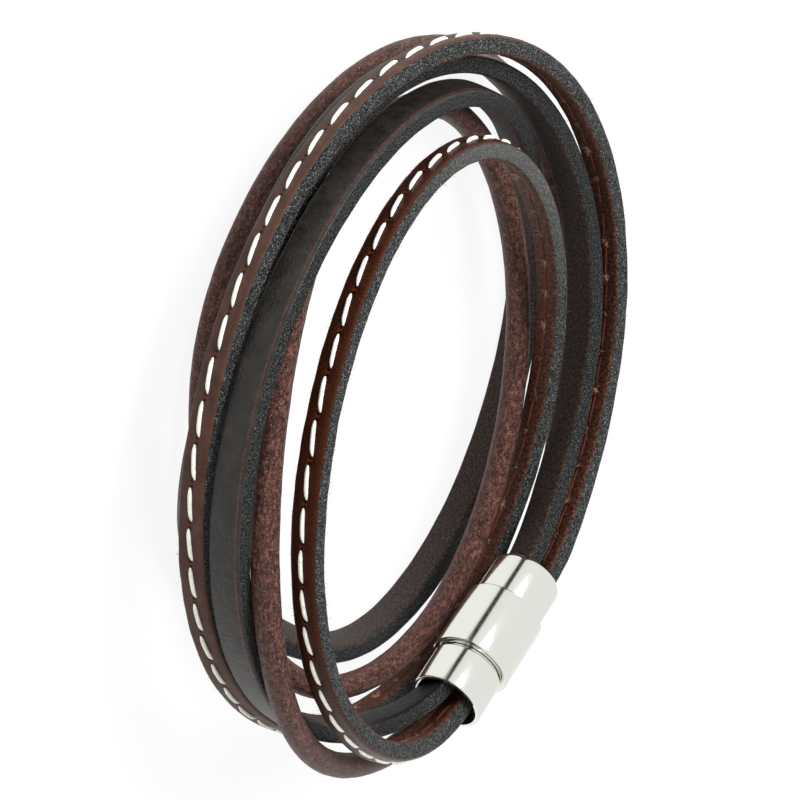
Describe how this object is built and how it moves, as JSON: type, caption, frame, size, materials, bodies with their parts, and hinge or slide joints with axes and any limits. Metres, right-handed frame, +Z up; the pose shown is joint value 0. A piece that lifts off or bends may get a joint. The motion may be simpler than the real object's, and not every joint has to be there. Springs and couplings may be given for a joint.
{
  "type": "leather wrap bracelet",
  "caption": "Leather wrap bracelet: flat straps and a round cord wound round the wrist, joined by a cylindrical steel clasp.",
  "frame": {"origin": "on the floor the bracelet lies on, under the middle of its outline", "axes": "+Z up through the wrist hole, +Y towards the far side of the picture, +X towards the clasp's side"},
  "size_m": [0.0758, 0.0747, 0.0203],
  "materials": {
    "brown_leather": "satin, with raw grey edges and an off-white running stitch",
    "dark_leather": "satin, with raw dark edges",
    "red_brown_leather": "satin, mottled",
    "polished_steel": "polished stainless steel"
  },
  "bodies": {
    "root": {"stitched_strap": "brown_leather", "flat_strap": "dark_leather", "round_cord": "red_brown_leather", "clasp_collar": "polished_steel", "clasp_barrel": "polished_steel", "clasp_plug": "polished_steel"}
  },
  "joints": []
}
